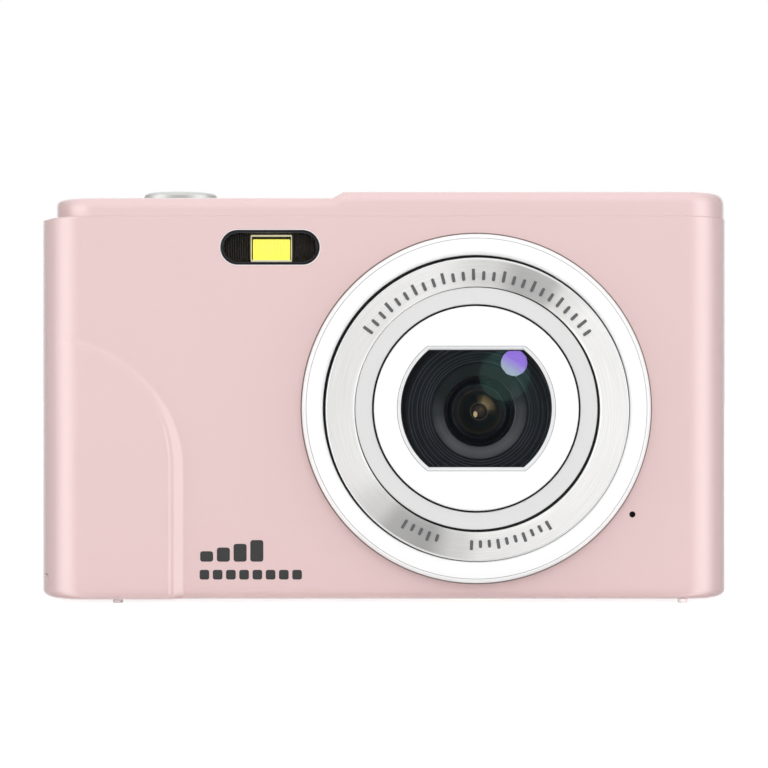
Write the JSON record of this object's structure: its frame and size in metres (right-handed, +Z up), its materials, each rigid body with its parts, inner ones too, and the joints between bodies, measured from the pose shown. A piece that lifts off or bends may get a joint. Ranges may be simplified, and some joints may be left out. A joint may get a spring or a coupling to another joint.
{
  "type": "compact digital camera",
  "caption": "Slim pocket camera with a raised finger grip, a fixed lens in stepped rings, a lamp flash, a rear display with keys, and a hinged battery and card door.",
  "frame": {"origin": "midway across the whole object, level with the bottom of the feet", "axes": "+X to the viewer's right when the lens faces the viewer, the lens faces -Y, +Z up"},
  "size_m": [0.094, 0.024, 0.0561],
  "materials": {
    "case_paint": "satin metallic paint",
    "bezel_white": "pearl white",
    "brushed_metal": "circular brushed",
    "satin_trim": "satin",
    "cap_white": "gloss",
    "clear_glass": "clear",
    "baffle_black": "matte",
    "retainer_metal": "satin",
    "coated_glass": "coated",
    "filter_glass": "clear",
    "sensor": "gloss",
    "board": "solder mask",
    "flash_lens": "clear",
    "lamp_yellow": "gloss",
    "steel": "plain",
    "speaker": "matte",
    "display": "gloss",
    "display_glass": "gloss",
    "bay_plastic": "matte",
    "battery_wrap": "satin",
    "gold_contact": "polished",
    "card_plastic": "matte",
    "brass_insert": "machined",
    "foot_rubber": "matte",
    "lamp_amber": "gloss",
    "spring_steel": "bright",
    "button_chrome": "satin",
    "key_silver": "satin"
  },
  "bodies": {
    "case": {"front_cover": "case_paint", "rear_cover": "case_paint", "top_cover": "case_paint", "lens_bezel": "bezel_white", "dress_ring": "brushed_metal", "trim_ring": "satin_trim", "lens_cap": "cap_white", "lens_window": "clear_glass", "lens_baffle": "baffle_black", "lens_barrel": "baffle_black", "front_element": "coated_glass", "retainer_ring": "retainer_metal", "aperture_plate": "baffle_black", "rear_element": "coated_glass", "ir_filter": "filter_glass", "image_sensor": "sensor", "sensor_board": "board", "flash_window": "flash_lens", "flash_reflector": "baffle_black", "flash_lamp": "lamp_yellow", "flash_board": "board", "microphone": "steel", "speaker": "speaker", "chassis": "steel", "main_board": "board", "board_parts": "steel", "display_panel": "display", "display_window": "display_glass", "key_board": "board", "key_domes": "steel", "battery_bay": "bay_plastic", "battery": "battery_wrap", "battery_contacts": "gold_contact", "card_socket": "steel", "memory_card": "card_plastic", "tripod_socket": "brass_insert", "usb_port": "steel", "strap_bar": "steel", "feet": "foot_rubber", "case_screws": "steel", "status_lamp": "lamp_amber", "top_switches": "board", "shutter_spring": "spring_steel", "hinge_pins": "steel"},
    "shutter_button": {"shutter_button": "button_chrome"},
    "power_button": {"power_button": "button_chrome"},
    "zoom_rocker": {"zoom_rocker": "key_silver"},
    "play_button": {"play_button": "key_silver"},
    "menu_button": {"menu_button": "key_silver"},
    "delete_button": {"delete_button": "key_silver"},
    "mode_button": {"mode_button": "key_silver"},
    "up_key": {"up_key": "key_silver"},
    "down_key": {"down_key": "key_silver"},
    "right_key": {"right_key": "key_silver"},
    "left_key": {"left_key": "key_silver"},
    "ok_key": {"ok_key": "key_silver"},
    "battery_door": {"battery_door": "case_paint"},
    "door_latch": {"door_latch": "key_silver"},
    "usb_cover": {"usb_cover": "case_paint"}
  },
  "joints": [
    {"name": "shutter_press", "type": "slide", "parent": "case", "child": "shutter_button", "axis": [0, 0, -1], "range_m": [0, 0.0008], "stiffness_N_per_m": 600, "springref_m": -0.0002, "deforming": ["shutter_spring"]},
    {"name": "power_press", "type": "slide", "parent": "case", "child": "power_button", "axis": [0, 0, -1], "range_m": [0, 0.0005], "stiffness_N_per_m": 800, "springref_m": -0.0002},
    {"name": "play_press", "type": "slide", "parent": "case", "child": "play_button", "axis": [0, -1, 0], "range_m": [0, 0.00035], "stiffness_N_per_m": 1500, "springref_m": -0.0002},
    {"name": "menu_press", "type": "slide", "parent": "case", "child": "menu_button", "axis": [0, -1, 0], "range_m": [0, 0.00035], "stiffness_N_per_m": 1500, "springref_m": -0.0002},
    {"name": "delete_press", "type": "slide", "parent": "case", "child": "delete_button", "axis": [0, -1, 0], "range_m": [0, 0.00035], "stiffness_N_per_m": 1500, "springref_m": -0.0002},
    {"name": "mode_press", "type": "slide", "parent": "case", "child": "mode_button", "axis": [0, -1, 0], "range_m": [0, 0.00035], "stiffness_N_per_m": 1500, "springref_m": -0.0002},
    {"name": "up_press", "type": "slide", "parent": "case", "child": "up_key", "axis": [0, -1, 0], "range_m": [0, 0.00035], "stiffness_N_per_m": 1500, "springref_m": -0.0002},
    {"name": "down_press", "type": "slide", "parent": "case", "child": "down_key", "axis": [0, -1, 0], "range_m": [0, 0.00035], "stiffness_N_per_m": 1500, "springref_m": -0.0002},
    {"name": "right_press", "type": "slide", "parent": "case", "child": "right_key", "axis": [0, -1, 0], "range_m": [0, 0.00035], "stiffness_N_per_m": 1500, "springref_m": -0.0002},
    {"name": "left_press", "type": "slide", "parent": "case", "child": "left_key", "axis": [0, -1, 0], "range_m": [0, 0.00035], "stiffness_N_per_m": 1500, "springref_m": -0.0002},
    {"name": "ok_press", "type": "slide", "parent": "case", "child": "ok_key", "axis": [0, -1, 0], "range_m": [0, 0.00035], "stiffness_N_per_m": 1500, "springref_m": -0.0002},
    {"name": "zoom_rock", "type": "hinge", "parent": "case", "child": "zoom_rocker", "pos_m": [-0.0305, 0.0096, 0.0462], "axis": [0, 0, 1], "range_deg": [-3.5, 3.5], "stiffness_Nm_per_rad": 0.08},
    {"name": "door_swing", "type": "hinge", "parent": "case", "child": "battery_door", "pos_m": [-0.0054, 0, 0.00145], "axis": [0, -1, 0], "range_deg": [0, 95]},
    {"name": "latch_slide", "type": "slide", "parent": "battery_door", "child": "door_latch", "axis": [0, 1, 0], "range_m": [0, 0.0015]},
    {"name": "usb_swing", "type": "hinge", "parent": "case", "child": "usb_cover", "pos_m": [0.0452, 0.00735, 0.04], "axis": [0, 0, 1], "range_deg": [0, 100]}
  ]
}
